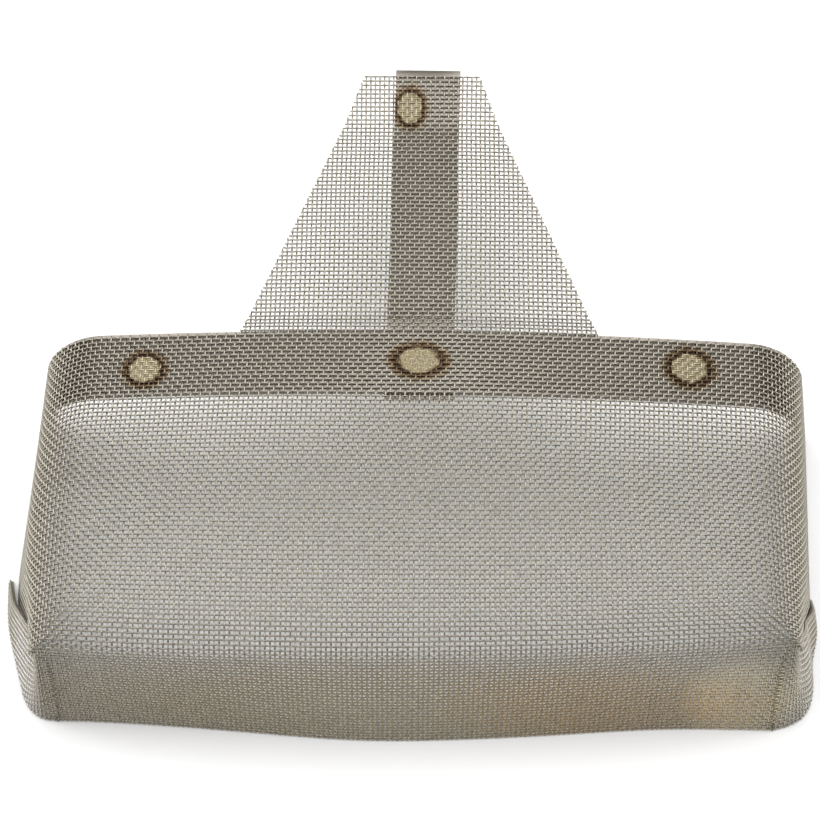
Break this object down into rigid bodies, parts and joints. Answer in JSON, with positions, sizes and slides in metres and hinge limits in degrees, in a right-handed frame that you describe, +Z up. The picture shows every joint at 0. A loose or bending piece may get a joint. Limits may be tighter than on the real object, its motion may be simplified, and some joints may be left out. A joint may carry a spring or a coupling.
{
  "type": "fire screen",
  "caption": "Small folded wire-cloth fire screen: a shallow open pan of woven steel mesh with a tapered mesh tab, spot welded to a flat steel band and strap.",
  "frame": {"origin": "centre of the whole screen's bounding box, at the height of the rim it rests on", "axes": "+X to the screen's right along its long side, +Y from the front wall to the end of the tab, +Z up from the rim to the panel"},
  "size_m": [0.2712, 0.2252, 0.0636],
  "materials": {
    "wire_cloth": "plain woven stainless wire cloth, 16 mesh",
    "strip_steel": "dull rolled stainless strip",
    "weld": "flattened fused wire with heat tint"
  },
  "bodies": {
    "root": {"mesh_pan": "wire_cloth", "mesh_tab": "wire_cloth", "left_corner_flap": "wire_cloth", "right_corner_flap": "wire_cloth", "mouth_band": "strip_steel", "tab_strap": "strip_steel", "spot_weld_left": "weld", "spot_weld_centre": "weld", "spot_weld_right": "weld", "spot_weld_top": "weld"}
  },
  "joints": []
}
